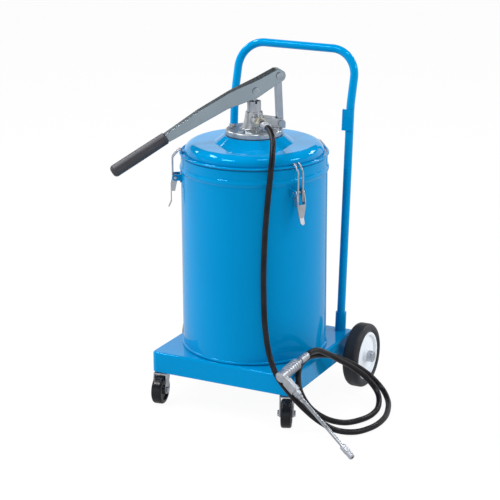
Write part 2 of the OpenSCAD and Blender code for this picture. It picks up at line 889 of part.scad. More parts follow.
module latch_bail_br() {
  rotate(latch_angles[1]) latch_bail();
}

module latch_bail_bl() {
  rotate(latch_angles[2]) latch_bail();
}

module latch_bail_fl() {
  rotate(latch_angles[3]) latch_bail();
}

// Turns the children to the pump's own frame: X to the grip, Y to the outlet
module on_pump() {
  rotate(pump_turn) children();
}

// Cast head: flange, flared tower, outlet boss on a rib, link lugs, spigot
module pump_head() {
  top_r = tower_d / 2;
  rib = 12;
  color(zinc) on_pump() difference() {
    union() {
      translate([0, 0, flange_z]) rotate_extrude($fn = 96) polygon([
        [0, -spigot_l], [tube_ir - fit, -spigot_l], [tube_ir - fit, 0], [flange_d / 2 - 1, 0],
        [flange_d / 2, 1], [flange_d / 2, flange_t - 2], [flange_d / 2 - 2, flange_t],
        [top_r + 14, flange_t], [top_r + 9, flange_t + 3], [top_r + 5, flange_t + 12],
        [top_r + 2, flange_t + 26], [top_r, flange_t + tower_h], [0, flange_t + tower_h]
      ]);
      translate([0, 0, outlet_z]) rotate([-90, 0, 0]) cylinder(h = outlet_reach, d = outlet_d);
      translate([-rib / 2, 0, deck_z - cut]) cube([rib, outlet_reach - 4, outlet_h]);
      side_plate(lug_w) polygon(concat(
        [[-top_r, deck_z - cut], [-top_r, link_z + lug_r + 8]],
        arc([-link_back, link_z], lug_r, 90, 180, 6),
        [[-link_back - lug_r, deck_z - cut]]
      ));
    }
    translate([-link_back - 2 * lug_r, -lug_slot / 2, deck_z]) cube([3 * lug_r + play, lug_slot, tower_h]);
    cross_pin(-link_back, link_z, pin_d / 2 + fit, base_w);
    translate([0, 0, flange_z - spigot_l - cut])
      cylinder(h = spigot_l + flange_t + tower_h + 2 * cut, r = rod_bore_r);
    translate([0, 0, tower_z - thread_l - cut]) cylinder(h = thread_l + 2 * cut, d = thread_d + 2 * fit);
    translate([0, 0, outlet_z]) rotate([-90, 0, 0]) cylinder(h = outlet_reach + cut, d = oil_d);
    translate([0, outlet_reach - thread_l, outlet_z]) rotate([-90, 0, 0])
      cylinder(h = thread_l + cut, d = adaptor_d - 8 + 2 * fit);
    for (a = bolt_turns) rotate(a) translate([flange_circle_d / 2, 0, flange_z - cut])
      cylinder(h = flange_t + 2 * cut, d = flange_bolt_d + 2 * fit);
  }
}

module flange_seal() {
  color(rubber) on_pump() translate([0, 0, seat_z]) difference() {
    cylinder(h = seal_t, d = flange_d, $fn = 96);
    translate([0, 0, -cut]) cylinder(h = seal_t + 2 * cut, r = tube_hole_r);
    for (a = bolt_turns) rotate(a) translate([flange_circle_d / 2, 0, -cut])
      cylinder(h = seal_t + 2 * cut, d = flange_bolt_d + 2 * fit);
  }
}

module flange_bolts() {
  color(zinc) on_pump() for (a = bolt_turns) rotate(a) translate([flange_circle_d / 2, 0, 0]) union() {
    translate([0, 0, seat_z]) cylinder(h = deck_z - seat_z + cut, d = flange_bolt_d);
    translate([0, 0, deck_z]) hex_bar(flange_bolt_d * head_af * 1.1, flange_bolt_d * head_h);
  }
}

// Gland nut with an open cup and tommy-bar slots
module gland_nut() {
  cup = 9;
  slot_w = 5;
  color(steel) on_pump() translate([0, 0, tower_z]) difference() {
    union() {
      translate([0, 0, -thread_l]) cylinder(h = thread_l + cut, d = thread_d);
      cylinder(h = gland_h, d = gland_d);
    }
    translate([0, 0, -thread_l - cut]) cylinder(h = thread_l + gland_h + 2 * cut, d = rod_d + 2 * fit);
    translate([0, 0, gland_h - cup]) cylinder(h = cup + cut, d = gland_d - 8);
    for (a = [0, 90]) rotate(a) translate([-gland_d, -slot_w / 2, gland_h - cup / 2])
      cube([2 * gland_d, slot_w, cup]);
  }
}

// Rod with a flat eye, slotted for the lever's pin
module piston_rod() {
  hw = slot_half + pin_d / 2 + 5;
  hh = pin_d / 2 + slot_play + 5;
  color(steel) on_pump() difference() {
    union() {
      translate([0, 0, piston_z + piston_l])
        cylinder(h = rod_pin_z - hh - piston_z - piston_l + 2 * cut, d = rod_d);
      intersection() {
        side_plate(link_t) union() {
          for (s = [-1, 1]) translate([s * (hw - hh), rod_pin_z]) circle(hh);
          translate([hh - hw, rod_pin_z - hh]) square([2 * (hw - hh), 2 * hh]);
        }
        translate([0, 0, rod_pin_z - hh]) cylinder(h = 3 * hh, r = hw);
      }
    }
    for (s = [-1, 1]) cross_pin(s * slot_half, rod_pin_z, pin_d / 2 + slot_play, base_w);
    translate([-slot_half, -link_t, rod_pin_z - pin_d / 2 - slot_play])
      cube([2 * slot_half, 2 * link_t, pin_d + 2 * slot_play]);
  }
}

module piston() {
  groove = 2;
  r = tube_ir - fit;
  color(brass) on_pump() translate([0, 0, piston_z]) rotate_extrude() polygon([
    [0, 0], [r, 0], [r, piston_l / 2 - groove], [r - groove, piston_l / 2 - groove],
    [r - groove, piston_l / 2 + groove], [r, piston_l / 2 + groove], [r, piston_l], [0, piston_l]
  ]);
}

module pump_tube() {
  color(steel) on_pump() translate([0, 0, foot_z0]) difference() {
    cylinder(h = flange_z - foot_z0, d = tube_od);
    translate([0, 0, -cut]) cylinder(h = flange_z - foot_z0 + 2 * cut, r = tube_ir);
  }
}

// Foot valve: a plug with an inlet bore
module foot_valve() {
  color(brass) on_pump() translate([0, 0, foot_z0]) difference() {
    cylinder(h = foot_h, r = tube_ir - fit);
    translate([0, 0, -cut]) cylinder(h = foot_h + 2 * cut, d = oil_d);
  }
}

module link() {
  color(steel) on_pump() difference() {
    side_plate(link_t) union() {
      hull() {
        translate([-link_back, link_z]) circle(link_w / 2, $fn = 32);
        translate([-fulcrum_back, fulcrum_z]) circle(link_w / 2, $fn = 32);
      }
      translate([-link_back, link_z]) circle(eye_r);
      translate([-fulcrum_back, fulcrum_z]) circle(eye_r);
    }
    cross_pin(-link_back, link_z, pin_d / 2 + fit, base_w);
    cross_pin(-fulcrum_back, fulcrum_z, pin_d / 2 + fit, base_w);
  }
}

// Pin along Y with a head at each end
module headed_pin(x, z, w) {
  head = 3.5;
  union() {
    cross_pin(x, z, pin_d / 2, w + 2 * cut);
    for (s = [-1, 1]) translate([0, s * (w / 2 + head / 2), 0]) cross_pin(x, z, pin_d / 2 + 3, head);
  }
}

module link_pin() {
  color(zinc) on_pump() headed_pin(-link_back, link_z, lug_w + 2 * fit);
}

module fulcrum_pin() {
  color(zinc) on_pump() headed_pin(-fulcrum_back, fulcrum_z, lever_w + 2 * fit);
}

// Plan of the lever, narrowed by inset on each side
module lever_plan(inset) {
  w0 = lever_w / 2 - inset;
  w1 = lever_waist_w / 2 - inset;
  w2 = lever_tip_w / 2 - inset;
  x0 = -fulcrum_back - 2 * lever_round;
  x3 = lever_end[0] + lever_tip_w;
  polygon([
    [x0, -w0], [-eye_r, -w0], [lever_waist, -w1], [x3, -w2],
    [x3, w2], [lever_waist, w1], [-eye_r, w0], [x0, w0]
  ]);
}

// Pressed channel, open below, with a tang for the grip
module pump_lever() {
  pin = [0, rod_pin_z];
  ful = [-fulcrum_back, fulcrum_z];
  in_top = shift(lever_top, pin - [0, lever_t * 1.12]);
  dir = [cos(grip_slope), 0, -sin(grip_slope)];
  end = [lever_end[0], 0, rod_pin_z + lever_end[1]];
  color(grey) on_pump() difference() {
    union() {
      difference() {
        intersection() {
          side_plate(2 * lever_w) polygon(concat(
            arc(ful, lever_round, lever_nose[0], lever_nose[1]),
            shift(lever_top, pin), reversed(shift(lever_low, pin))
          ));
          translate([0, 0, deck_z - base_w]) linear_extrude(2 * base_w) lever_plan(0);
        }
        intersection() {
          side_plate(2 * lever_w) polygon(concat(
            [ful + [-2 * lever_round, -3]],
            arc(ful, lever_round - lever_t, lever_throat[0], lever_throat[1]), in_top,
            [[lever_end[0], rod_pin_z + lever_end[1] - lever_w]], [ful + [-2 * lever_round, -base_w / 2]]
          ));
          translate([0, 0, deck_z - base_w]) linear_extrude(2 * base_w) lever_plan(lever_t);
        }
      }
      rod(end - tang_in * dir, end + tang_out * dir, tang_d / 2);
    }
    cross_pin(ful[0], ful[1], pin_d / 2 + fit, base_w);
    cross_pin(0, rod_pin_z, pin_d / 2 + fit, base_w);
  }
}

module rod_pin() {
  color(zinc) on_pump() headed_pin(0, rod_pin_z, lever_w + 2 * fit);
}

module lever_grip() {
  dir = [cos(grip_slope), 0, -sin(grip_slope)];
  r = grip_d / 2;
  round_r = 9;
  end = [lever_end[0], 0, rod_pin_z + lever_end[1]];
  color(rubber) on_pump() at_axis(end + play * dir, dir) rotate_extrude() polygon(concat(
    [[tang_d / 2 + fit, 0], [r - 3, 0], [r - 0.5, 3], [r, grip_l / 2]],
    arc([r - round_r, grip_l - round_r], round_r, 0, 90),
    [[0, grip_l], [0, tang_out + cut], [tang_d / 2 + fit, tang_out + cut]]
  ));
}

// Moves the children to the outlet, their Z axis out along it
module on_outlet(y) {
  on_pump() translate([0, y, outlet_z]) rotate([-90, 0, 0]) children();
}

module outlet_adaptor() {
  color(brass) on_outlet(outlet_reach) difference() {
    union() {
      translate([0, 0, -thread_l]) cylinder(h = thread_l + cut, d = adaptor_d - 8);
      cylinder(h = 3, d = adaptor_d + 1);
      translate([0, 0, 3]) hex_bar(adaptor_d, adaptor_l - 9);
      translate([0, 0, adaptor_l - 6]) cylinder(h = 6, d = adaptor_d - 5);
    }
    translate([0, 0, -thread_l - cut]) cylinder(h = thread_l + adaptor_l + 2 * cut, d = oil_d);
  }
}

// Crimped ferrule, its hose end at z = ferrule_l
module ferrule() {
  r = ferrule_d / 2;
  band = ferrule_l / 4;
  crimp = 0.7;
  color(zinc) rotate_extrude() polygon(concat(
    [[oil_d / 2, 0], [r - 2.5, 0], [r - 2.5, band], [r, band]],
    [for (i = [1:2]) each [
      [r, band * (i + 0.5)], [r - crimp, band * (i + 0.6)], [r - crimp, band * (i + 0.9)], [r, band * (i + 1)]
    ]],
    [[r, ferrule_l - 1], [r - 1, ferrule_l], [oil_d / 2, ferrule_l]]
  ));
}

module hose_ferrule_pump() {
  on_outlet(adaptor_y) ferrule();
}

function outlet_dir() = [-sin(pump_turn), cos(pump_turn), 0];

hose_start = hose_start_y * outlet_dir() + [0, 0, outlet_z];
barrel_end = barrel_gap + barrel_l;
hose_end = elbow_c + (barrel_end + ferrule_l) * barrel_dir;
hose_pts = concat([hose_start], hose_route, [hose_end]);

// Direction of the hose at point i, weighted by the lengths on both sides
function hose_tangent(i) =
  i == 0 ? outlet_dir()
  : i == len(hose_pts) - 1 ? -barrel_dir
  : let (a = hose_pts[i] - hose_pts[i - 1], b = hose_pts[i + 1] - hose_pts[i])
    unit(a / norm(a) * norm(b) + b / norm(b) * norm(a));

// Point and direction on a cubic between two points with their directions
function hermite(p, q, m, n, t) =
  (2 * pow(t, 3) - 3 * t * t + 1) * p + (pow(t, 3) - 2 * t * t + t) * m
  + (3 * t * t - 2 * pow(t, 3)) * q + (pow(t, 3) - t * t) * n;

function hermite_dir(p, q, m, n, t) =
  unit((6 * t * t - 6 * t) * (p - q) + (3 * t * t - 4 * t + 1) * m + (3 * t * t - 2 * t) * n);

hose_line = [
  for (i = [0:len(hose_pts) - 2]) for (k = [0:hose_steps - (i == len(hose_pts) - 2 ? 0 : 1)])
    let (p = hose_pts[i], q = hose_pts[i + 1], l = norm(q - p), t = k / hose_steps)
      let (m = l * hose_tangent(i), n = l * hose_tangent(i + 1))
        [hermite(p, q, m, n, t), hermite_dir(p, q, m, n, t)]
];

// Side vector of each ring, carried along without twist
function carried(x, i) =
  i == len(hose_line) ? []
  : let (d = hose_line[i][1], y = unit(x - (x * d) * d)) concat([y], carried(y, i + 1));

module hose() {
  n = len(hose_line);
  m = hose_sides;
  xs = carried([0, 0, 1], 0);
  pts = [for (i = [0:n - 1]) for (k = [0:m - 1])
    let (y = cross(hose_line[i][1], xs[i]), a = 360 * k / m)
      hose_line[i][0] + hose_d / 2 * (cos(a) * xs[i] + sin(a) * y)];
  sides = [for (i = [0:n - 2]) for (k = [0:m - 1])
    [i * m + k, (i + 1) * m + k, (i + 1) * m + (k + 1) % m, i * m + (k + 1) % m]];
  color(rubber) polyhedron(pts, concat(
    sides, [[for (k = [0:m - 1]) k]], [[for (k = [m - 1:-1:0]) (n - 1) * m + k]]
  ), convexity = 10);
}

module hose_ferrule_nozzle() {
  at_axis(elbow_c + barrel_end * barrel_dir, barrel_dir) ferrule();
}

// Ribbed barrel, bored for the elbow's spigot
module swivel_barrel() {
  r = barrel_d / 2;
  pitch = (barrel_l - 10) / barrel_ribs;
  color(zinc) at_axis(elbow_c + barrel_gap * barrel_dir, barrel_dir) rotate_extrude() polygon(concat(
    [[spigot_d / 2 + fit, 0], [r - 1, 0], [r, 1], [r, 4]],
    [for (i = [0:barrel_ribs - 1]) each [
      [r - rib_h, 5 + pitch * i], [r - rib_h, 5 + pitch * (i + 0.35)],
      [r, 5 + pitch * (i + 0.45)], [r, 5 + pitch * (i + 0.9)]
    ]],
    [[r - 3, barrel_l - 3], [ferrule_d / 2 - 3, barrel_l], [oil_d / 2, barrel_l]],
    [[oil_d / 2, spigot_in + play], [spigot_d / 2 + fit, spigot_in + play]]
  ));
}

// Forged elbow with a spigot in the barrel and a hexagonal leg to the pipe
module swivel_elbow() {
  r = elbow_hex_d / 2;
  color(zinc) difference() {
    union() {
      at_axis(elbow_c, barrel_dir) rotate_extrude() polygon([
        [0, -r], [r - 4, -r], [r + 1, 4 - r], [r + 1, barrel_gap - play], [spigot_d / 2, barrel_gap - play],
        [spigot_d / 2, barrel_gap + spigot_in], [0, barrel_gap + spigot_in]
      ]);
      at_axis(elbow_c, leg_dir) cylinder(h = elbow_leg / 2, r = r - 2);
      at_axis(elbow_c + elbow_leg / 3 * leg_dir, leg_dir) hex_bar(elbow_hex_d, elbow_leg * 2 / 3);
    }
    at_axis(elbow_c + elbow_leg / 2 * leg_dir, leg_dir) cylinder(h = elbow_leg, d = pipe_d + 2 * fit);
  }
}

module union_nut() {
  color(zinc) at_axis(elbow_c + elbow_leg * leg_dir, leg_dir) difference() {
    union() {
      hex_bar(nut_d, nut_l * 0.6);
      cylinder(h = nut_l, d = nut_d - 5);
    }
    translate([0, 0, -cut]) cylinder(h = nut_l + 2 * cut, d = pipe_d + 2 * fit);
  }
}

module nozzle_pipe() {
  start = elbow_c + (elbow_leg / 2 + cut) * leg_dir;
  end = tip_c - (coupler_l - pipe_in) * tip_dir;
  color(zinc) bent_bar([start, pipe_bend_c, end], [pipe_bend_r], pipe_d / 2);
}

// Coupler: knurled sleeve with a bored mouth
module nozzle_coupler() {
  r = coupler_d / 2;
  color(zinc) at_axis(tip_c - coupler_l * tip_dir, tip_dir) rotate_extrude() polygon([
    [pipe_d / 2 + fit, 0], [r - 2, 0], [r, 3], [r, coupler_l * 0.55], [r - 0.8, coupler_l * 0.58],
    [r - 0.8, coupler_l - 2], [r - 2, coupler_l], [mouth_d / 2, coupler_l],
    [mouth_d / 2, pipe_in + 2], [pipe_d / 2 + fit, pipe_in + 2]
  ]);
}

base_plate();
axle_brackets();
caster_sockets();
handle_sockets();
handle_frame();
hanger_plate();
rear_axle();
axle_spacers();
axle_caps();
tyre_left();
tyre_right();
hub_left();
hub_right();
caster_stems();
caster_fork_left();
caster_fork_right();
caster_wheel_left();
caster_wheel_right();
caster_bolt_left();
caster_bolt_right();
drum();
drum_gasket();
lid();
latch_brackets();
latch_pins();
latch_lever_fr();
latch_lever_br();
latch_lever_bl();
latch_lever_fl();
latch_bail_fr();
latch_bail_br();
latch_bail_bl();
latch_bail_fl();
pump_head();
flange_seal();
flange_bolts();
gland_nut();
piston_rod();
piston();
pump_tube();
foot_valve();
link();
link_pin();
fulcrum_pin();
pump_lever();
rod_pin();
lever_grip();
outlet_adaptor();
hose_ferrule_pump();
hose();
hose_ferrule_nozzle();
swivel_barrel();
swivel_elbow();
union_nut();
nozzle_pipe();
nozzle_coupler();
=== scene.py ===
"""Manual grease pump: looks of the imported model, with studio, camera and hose."""
import json
import math

import bmesh
import bpy
from mathutils import Matrix, Vector


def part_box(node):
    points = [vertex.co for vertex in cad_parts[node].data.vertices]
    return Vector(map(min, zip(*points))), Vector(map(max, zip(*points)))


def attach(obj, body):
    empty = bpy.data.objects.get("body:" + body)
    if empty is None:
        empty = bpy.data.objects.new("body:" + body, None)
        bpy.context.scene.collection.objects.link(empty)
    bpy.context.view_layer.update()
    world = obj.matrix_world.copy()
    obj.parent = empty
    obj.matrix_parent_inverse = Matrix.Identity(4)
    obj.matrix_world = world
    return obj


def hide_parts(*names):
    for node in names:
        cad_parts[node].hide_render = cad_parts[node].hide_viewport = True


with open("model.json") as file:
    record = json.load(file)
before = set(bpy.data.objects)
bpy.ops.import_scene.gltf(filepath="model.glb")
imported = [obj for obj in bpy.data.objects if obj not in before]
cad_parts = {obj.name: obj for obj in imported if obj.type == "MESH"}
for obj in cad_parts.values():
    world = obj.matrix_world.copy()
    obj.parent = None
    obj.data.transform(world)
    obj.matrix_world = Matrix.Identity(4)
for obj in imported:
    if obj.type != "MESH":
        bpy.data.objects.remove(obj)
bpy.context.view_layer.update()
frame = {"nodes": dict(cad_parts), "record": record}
nodes = frame["nodes"]
scene = bpy.context.scene
scene.view_settings.view_transform = "Standard"

# Camera, fitted to the photograph's view of the drum and the base
CAMERA_YAW = math.radians(26.98)
CAMERA_PITCH = math.radians(17.27)
CAMERA_ROLL = math.radians(-0.153)
CAMERA_DISTANCE = 3.8615
CAMERA_AIM = Vector((0.0, 0.0, 0.3391))
FOCAL_PX = 1692.4
FRAME_PX = 500
CENTRE_PX = 254.5
SENSOR_MM = 36.0


def make_camera():
    ahead = Vector((-math.sin(CAMERA_YAW) * math.cos(CAMERA_PITCH),
                    math.cos(CAMERA_YAW) * math.cos(CAMERA_PITCH),
                    -math.sin(CAMERA_PITCH)))
    level = Vector((math.cos(CAMERA_YAW), math.sin(CAMERA_YAW), 0.0))
    upright = level.cross(ahead)
    right = math.cos(CAMERA_ROLL) * level + math.sin(CAMERA_ROLL) * upright
    up = math.cos(CAMERA_ROLL) * upright - math.sin(CAMERA_ROLL) * level
    data = bpy.data.cameras.new("camera")
    data.sensor_width = SENSOR_MM
    data.lens = SENSOR_MM * FOCAL_PX / FRAME_PX
    data.shift_x = (FRAME_PX / 2 - CENTRE_PX) / FRAME_PX
    obj = bpy.data.objects.new("camera", data)
    turn = Matrix((right, up, -ahead)).transposed().to_4x4()
    obj.matrix_world = Matrix.Translation(CAMERA_AIM - ahead * CAMERA_DISTANCE) @ turn
    scene.collection.objects.link(obj)
    scene.camera = obj


make_camera()


# Materials: the middle range of a noise is spread over each pair of values
NOISE_LOW = 0.3
NOISE_HIGH = 0.7
PATCH_DETAIL = 4.0
GRAIN_DETAIL = 2.0
GRAIN_STRENGTH = 0.5
EDGE_SAMPLES = 6


def new_material(name):
    mat = bpy.data.materials.new(name)
    mat.use_nodes = True
    tree = mat.node_tree
    return mat, tree, tree.nodes["Principled BSDF"]


def noise(tree, scale, detail):
    """Noise in the object's own metres."""
    coord = tree.nodes.new("ShaderNodeTexCoord")
    tex = tree.nodes.new("ShaderNodeTexNoise")
    tex.inputs["Scale"].default_value = scale
    tex.inputs["Detail"].default_value = detail
    tree.links.new(coord.outputs["Object"], tex.inputs["Vector"])
    return tex.outputs["Fac"]


def ramp(tree, factor, low, high, start=NOISE_LOW, end=NOISE_HIGH):
    node = tree.nodes.new("ShaderNodeMapRange")
    node.inputs["From Min"].default_value = start
    node.inputs["From Max"].default_value = end
    node.inputs["To Min"].default_value = low
    node.inputs["To Max"].default_value = high
    tree.links.new(factor, node.inputs["Value"])
    return node.outputs["Result"]


def colour_mix(tree, factor, a, b):
    node = tree.nodes.new("ShaderNodeValToRGB")
    node.color_ramp.elements[0].position = NOISE_LOW
    node.color_ramp.elements[1].position = NOISE_HIGH
    node.color_ramp.elements[0].color = (*a, 1)
    node.color_ramp.elements[1].color = (*b, 1)
    tree.links.new(factor, node.inputs["Fac"])
    return node.outputs["Color"]


def bump(tree, height, distance, normal):
    node = tree.nodes.new("ShaderNodeBump")
    node.inputs["Strength"].default_value = GRAIN_STRENGTH
    node.inputs["Distance"].default_value = distance
    tree.links.new(height, node.inputs["Height"])
    if normal:
        tree.links.new(normal, node.inputs["Normal"])
    return node.outputs["Normal"]


def rounded(tree, radius):
    """Normals that round off hard edges by the given radius."""
    node = tree.nodes.new("ShaderNodeBevel")
    node.samples = EDGE_SAMPLES
    node.inputs["Radius"].default_value = radius
    return node.outputs["Normal"]


def surface(name, dark, light, rough, metal=0.0, tint=(1, 1, 1), patch=12.0, grain=600.0,
            grain_height=0.0, edge=0.0, gloss=0.5):
    """A material whose colour drifts in patches and whose roughness and bumps follow a fine grain."""
    mat, tree, shader = new_material(name)
    drift = noise(tree, patch, PATCH_DETAIL)
    tree.links.new(colour_mix(tree, drift, dark, light), shader.inputs["Base Color"])
    fine = noise(tree, grain, GRAIN_DETAIL)
    tree.links.new(ramp(tree, fine, rough[0], rough[1]), shader.inputs["Roughness"])
    shader.inputs["Metallic"].default_value = metal
    shader.inputs["Specular Tint"].default_value = (*tint, 1)
    shader.inputs["Specular IOR Level"].default_value = gloss
    normal = rounded(tree, edge) if edge else None
    if grain_height:
        normal = bump(tree, fine, grain_height, normal)
    if normal:
        tree.links.new(normal, shader.inputs["Normal"])
    return mat


paint = surface("paint_blue", (0.0, 0.2, 0.445), (0.0, 0.21, 0.465), (0.02, 0.035),
                tint=(0.05, 0.4, 1.0), patch=4.0, grain=60.0, grain_height=0.000003, edge=0.001)
zinc = surface("zinc_plate", (0.42, 0.45, 0.5), (0.58, 0.61, 0.66), (0.34, 0.44), metal=1.0, patch=45.0,
               edge=0.0006)
link_zinc = surface("link_zinc", (0.38, 0.44, 0.52), (0.45, 0.51, 0.59), (0.34, 0.42), metal=1.0,
                    patch=30.0, edge=0.0015)
steel = surface("bare_steel", (0.42, 0.45, 0.48), (0.58, 0.61, 0.64), (0.16, 0.26), metal=1.0, patch=60.0,
                grain_height=0.000003, edge=0.0006)
alloy = surface("cast_alloy", (0.38, 0.41, 0.44), (0.56, 0.59, 0.62), (0.3, 0.4), metal=1.0, patch=70.0,
                grain=500.0, grain_height=0.00002, edge=0.0015)
chrome = surface("chrome_pipe", (0.38, 0.41, 0.45), (0.48, 0.51, 0.55), (0.32, 0.4), metal=1.0, patch=50.0)
yellow = surface("yellow_zinc", (0.5, 0.49, 0.44), (0.66, 0.65, 0.58), (0.16, 0.28), metal=1.0, patch=60.0,
                 grain_height=0.000003, edge=0.0006)
tyre = surface("black_rubber", (0.014, 0.016, 0.02), (0.024, 0.027, 0.033), (0.42, 0.56), patch=30.0,
               grain=500.0, grain_height=0.00006, edge=0.001, gloss=0.35)
caster_black = surface("caster_black", (0.004, 0.005, 0.007), (0.009, 0.01, 0.014), (0.2, 0.3), patch=30.0,
                       grain=300.0, grain_height=0.00002, edge=0.001, gloss=0.25)
seal = surface("seal_rubber", (0.018, 0.018, 0.02), (0.028, 0.028, 0.03), (0.45, 0.58), patch=40.0,
               grain_height=0.00004)
plastic = surface("white_plastic", (0.64, 0.69, 0.75), (0.72, 0.76, 0.81), (0.3, 0.4), patch=20.0,
                  grain_height=0.00001, edge=0.001)
grip = surface("grip_black", (0.022, 0.023, 0.03), (0.034, 0.035, 0.044), (0.4, 0.55), patch=25.0,
               grain=500.0, grain_height=0.00005)
grey = surface("lever_grey", (0.32, 0.395, 0.455), (0.37, 0.45, 0.51), (0.2, 0.25), metal=1.0, patch=14.0,
               grain=120.0, edge=0.0016)
pin_grey = surface("pin_grey", (0.32, 0.38, 0.43), (0.44, 0.5, 0.56), (0.34, 0.42), metal=1.0, patch=80.0,
                   edge=0.0008)
hose_rubber = surface("hose_rubber", (0.005, 0.005, 0.007), (0.011, 0.011, 0.014), (0.26, 0.36), patch=35.0,
                      grain=700.0, grain_height=0.00003, gloss=0.2)

SLOT_MATERIALS = {
    "paint_blue": paint, "zinc_plate": zinc, "bare_steel": steel, "cast_alloy": alloy,
    "chrome_pipe": chrome, "yellow_zinc": yellow, "black_rubber": tyre, "seal_rubber": seal,
    "white_plastic": plastic, "grip_black": grip, "lever_grey": grey,
}
NODE_MATERIALS = {
    "caster_wheel_left": caster_black, "caster_wheel_right": caster_black, "link": link_zinc,
    "fulcrum_pin": pin_grey, "rod_pin": pin_grey, "link_pin": pin_grey,
}
for sub in frame["record"]["subparts"]:
    mesh = nodes[sub["node"]].data
    mesh.materials.clear()
    mesh.materials.append(NODE_MATERIALS.get(sub["node"], SLOT_MATERIALS[sub["material_slot"]]))


# Hose
HOSE_DIAMETER = 0.013
HOSE_SIDES = 24
HOSE_STEPS = 10
BARREL_DIR = Vector((0.2, 0.95, 0.25)).normalized()
OUTLET_DIR = Vector((math.sqrt(0.5), -math.sqrt(0.5), 0.0))
ELBOW = Vector((0.172, -0.207, 0.134))
OUTLET_REACH = 0.095
OUTLET_HEIGHT = 0.6455
BARREL_REACH = 0.091
HOSE_START = OUTLET_REACH * OUTLET_DIR + Vector((0.0, 0.0, OUTLET_HEIGHT))
HOSE_END = ELBOW + BARREL_REACH * BARREL_DIR
HOSE_ROUTE = [
    (0.084, -0.085, 0.641), (0.098, -0.104, 0.627), (0.106, -0.122, 0.604), (0.110, -0.137, 0.573),
    (0.109, -0.143, 0.540), (0.103, -0.149, 0.450), (0.099, -0.151, 0.300), (0.105, -0.154, 0.210),
    (0.122, -0.167, 0.157), (0.150, -0.187, 0.123), (0.185, -0.201, 0.097), (0.220, -0.205, 0.070),
    (0.255, -0.195, 0.040), (0.288, -0.175, 0.017), (0.319, -0.147, 0.008), (0.341, -0.108, 0.0075),
    (0.347, -0.055, 0.0075), (0.336, 0.000, 0.008), (0.316, 0.046, 0.013), (0.288, 0.076, 0.026),
    (0.257, 0.079, 0.050), (0.233, 0.054, 0.078), (0.212, 0.012, 0.107), (0.193, -0.035, 0.128),
    (0.179, -0.080, 0.137), (0.177, -0.122, 0.134), (0.186, -0.156, 0.119), (0.201, -0.177, 0.094),
    (0.223, -0.179, 0.063), (0.250, -0.158, 0.033), (0.281, -0.121, 0.013), (0.304, -0.078, 0.008),
    (0.314, -0.036, 0.0075), (0.310, 0.008, 0.012), (0.293, 0.041, 0.028), (0.265, 0.049, 0.053),
    (0.239, 0.029, 0.082), (0.218, -0.009, 0.112), (0.204, -0.048, 0.139), (0.196, -0.086, 0.157),
]


def hose_line():
    """Centre line of the hose: cubics through the route, straight out of both ferrules."""
    points = [HOSE_START] + [Vector(p) for p in HOSE_ROUTE] + [HOSE_END]
    ways = [OUTLET_DIR]
    for before, here, after in zip(points, points[1:], points[2:]):
        a, b = here - before, after - here
        ways.append((a.normalized() * b.length + b.normalized() * a.length).normalized())
    ways.append(-BARREL_DIR)
    line = []
    for p, q, m, n in zip(points, points[1:], ways, ways[1:]):
        reach = (q - p).length
        for k in range(HOSE_STEPS):
            t = k / HOSE_STEPS
            line.append((2 * t**3 - 3 * t * t + 1) * p + (t**3 - 2 * t * t + t) * reach * m
                        + (3 * t * t - 2 * t**3) * q + (t**3 - t * t) * reach * n)
    line.append(points[-1])
    return line


def tube(name, line, radius, sides, material, loop=False):
    """Tube round a line of points, capped or closed to a loop, its rings carried without twist."""
    bm = bmesh.new()
    side = Vector((0, 0, 1))
    rings = []
    for i, p in enumerate(line):
        if loop:
            ahead = (line[(i + 1) % len(line)] - line[i - 1]).normalized()
        else:
            ahead = (line[min(i + 1, len(line) - 1)] - line[max(i - 1, 0)]).normalized()
        side = (side - side.dot(ahead) * ahead).normalized()
        other = ahead.cross(side)
        rings.append([bm.verts.new(p + radius * (math.cos(a) * side + math.sin(a) * other))
                      for a in (2 * math.pi * k / sides for k in range(sides))])
    for low, high in zip(rings, rings[1:] + rings[:1] if loop else rings[1:]):
        for k in range(sides):
            face = bm.faces.new((low[k], high[k], high[(k + 1) % sides], low[(k + 1) % sides]))
            face.smooth = True
    if not loop:
        bm.faces.new(rings[0])
        bm.faces.new(reversed(rings[-1]))
    bmesh.ops.recalc_face_normals(bm, faces=bm.faces)
    mesh = bpy.data.meshes.new(name)
    bm.to_mesh(mesh)
    bm.free()
    mesh.materials.append(material)
    obj = bpy.data.objects.new(name, mesh)
    scene.collection.objects.link(obj)
    return obj


route = hose_line()
hose = tube("rubber_hose", route, HOSE_DIAMETER / 2, HOSE_SIDES, hose_rubber)
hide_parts("hose")
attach(hose, "base")


# Weld beads
WELD_RADIUS = 0.0016
WELD_RIPPLE = 0.00035
WELD_STEP = 0.0022
WELD_SIDES = 10
WELD_RING_STEPS = 36
SOCKET_RADIUS = 0.0127
TUBE_RADIUS = 0.0095
HANGER_WELD_SPREAD = 0.75 * TUBE_RADIUS
HANGER_WELD_INSET = 0.003
HANGER_WELD_LOW_Y = -0.0052
HANGER_WELD_HIGH_Y = -0.0015


def weld(name, line, body, loop=False):
    """Bead along a line, its thickness rippled as the torch went."""
    beads = tube(name, line, WELD_RADIUS, WELD_SIDES, paint, loop)
    for vert in beads.data.vertices:
        nearest = min(range(len(line)), key=lambda i: (line[i] - vert.co).length_squared)
        swell = WELD_RIPPLE / WELD_RADIUS * math.cos(math.pi * nearest)
        vert.co += (vert.co - line[nearest]) * swell
    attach(beads, body)


def ring(centre, radius, count):
    turns = [2 * math.pi * k / count for k in range(count)]
    return [centre + radius * Vector((math.cos(a), math.sin(a), 0.0)) for a in turns]


def straight(start, end):
    count = max(2, round((end - start).length / WELD_STEP))
    return [start.lerp(end, k / count) for k in range(count + 1)]


